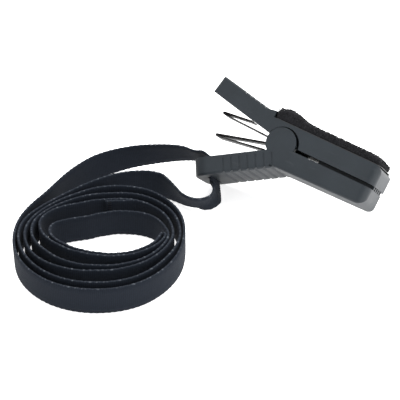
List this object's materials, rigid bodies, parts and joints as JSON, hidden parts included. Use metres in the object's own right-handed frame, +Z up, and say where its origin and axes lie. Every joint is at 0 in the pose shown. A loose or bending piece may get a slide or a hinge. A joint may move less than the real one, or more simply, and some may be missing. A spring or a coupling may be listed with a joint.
{
  "type": "webbing lanyard with spring clip",
  "caption": "Moulded spring clip with a soft loop pad on its upper jaw, and a closed loop of flat webbing through a slot in its lower handle, lying coiled.",
  "frame": {"origin": "on the ground under the middle of the clip's box; the webbing isn't counted", "axes": "+Z up, +X the way the jaws point as the clip lies, +Y away from the webbing coil"},
  "size_m": [0.0988, 0.1052, 0.0374],
  "materials": {
    "lever_plastic": "satin moulded, dark grey",
    "spring_steel": "blued strip and plain pin",
    "film": "black adhesive film",
    "pad_fabric": "looped pile, black",
    "webbing": "woven, near black"
  },
  "bodies": {
    "lower_clip": {"lower_lever": "lever_plastic", "pivot_pin": "spring_steel", "leaf_spring": "spring_steel", "strap_in_slot": "webbing", "strap_upper": "webbing", "strap_lower": "webbing", "strap_coil": "webbing"},
    "upper_clip": {"upper_lever": "lever_plastic", "adhesive_film": "film", "loop_pad": "pad_fabric"}
  },
  "joints": [
    {"name": "jaw_pivot", "type": "hinge", "parent": "lower_clip", "child": "upper_clip", "pos_m": [-0.00251, 0.00291, 0.01875], "axis": [0.0866, -0.7181, 0.6905], "range_deg": [0, 24], "stiffness_Nm_per_rad": 0.3, "springref_deg": -33.23, "deforming": ["leaf_spring"]}
  ]
}
